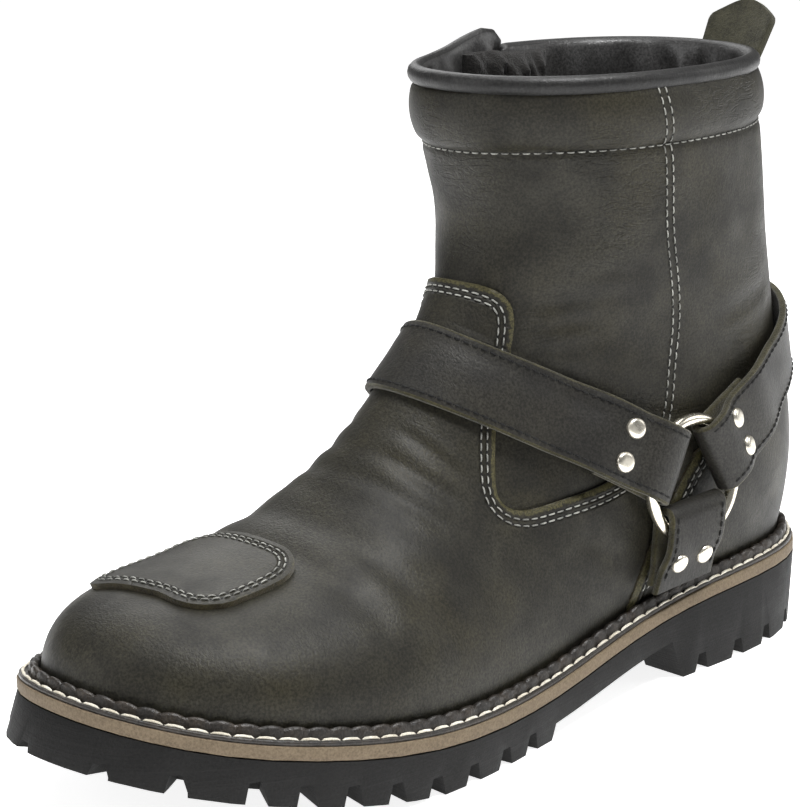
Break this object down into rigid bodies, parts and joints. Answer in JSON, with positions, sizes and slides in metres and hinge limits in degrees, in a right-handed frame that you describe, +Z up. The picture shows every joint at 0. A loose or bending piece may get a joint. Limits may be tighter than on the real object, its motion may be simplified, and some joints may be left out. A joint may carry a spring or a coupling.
{
  "type": "motorcycle boot",
  "caption": "Short leather motorcycle boot for the left foot, with a harness ring and riveted straps, toe patch, padded cuff, inner zip, stitched welt and lugged rubber sole.",
  "frame": {"origin": "on the floor, under the middle of the boot's bounding box", "axes": "+Z up, toe towards -Y, outer side of the foot towards +X"},
  "size_m": [0.121, 0.3128, 0.2155],
  "materials": {
    "upper_leather": "waxed, dark grey olive",
    "tab_leather": "rough, olive grey",
    "binding_leather": "smooth, black",
    "strap_leather": "smooth, charcoal",
    "nickel": "polished nickel",
    "zip_cloth": "woven, black",
    "zip_metal": "dark nickel",
    "insole_cloth": "woven, black",
    "welt_leather": "waxed, black",
    "midsole_leather": "matt, tan",
    "sole_rubber": "matt, black"
  },
  "bodies": {
    "boot": {"upper": "upper_leather", "vamp": "upper_leather", "counter": "upper_leather", "toe_patch": "upper_leather", "pull_tab": "tab_leather", "collar_binding": "binding_leather", "front_strap": "strap_leather", "heel_strap": "strap_leather", "side_strap": "strap_leather", "harness_ring": "nickel", "rivet_front_1": "nickel", "rivet_front_2": "nickel", "rivet_heel_1": "nickel", "rivet_heel_2": "nickel", "rivet_side_1": "nickel", "rivet_side_2": "nickel", "zip_tape": "zip_cloth", "zip_flap": "zip_cloth", "zip_slider": "zip_metal", "insole": "insole_cloth", "welt": "welt_leather", "midsole": "midsole_leather", "outsole": "sole_rubber"},
    "zip_pull": {"zip_pull": "zip_metal"}
  },
  "joints": [
    {"name": "zip_pull_hinge", "type": "hinge", "parent": "boot", "child": "zip_pull", "pos_m": [-0.051, 0.06676, 0.17616], "axis": [-0.002, 1, 0], "range_deg": [-10, 150]}
  ]
}
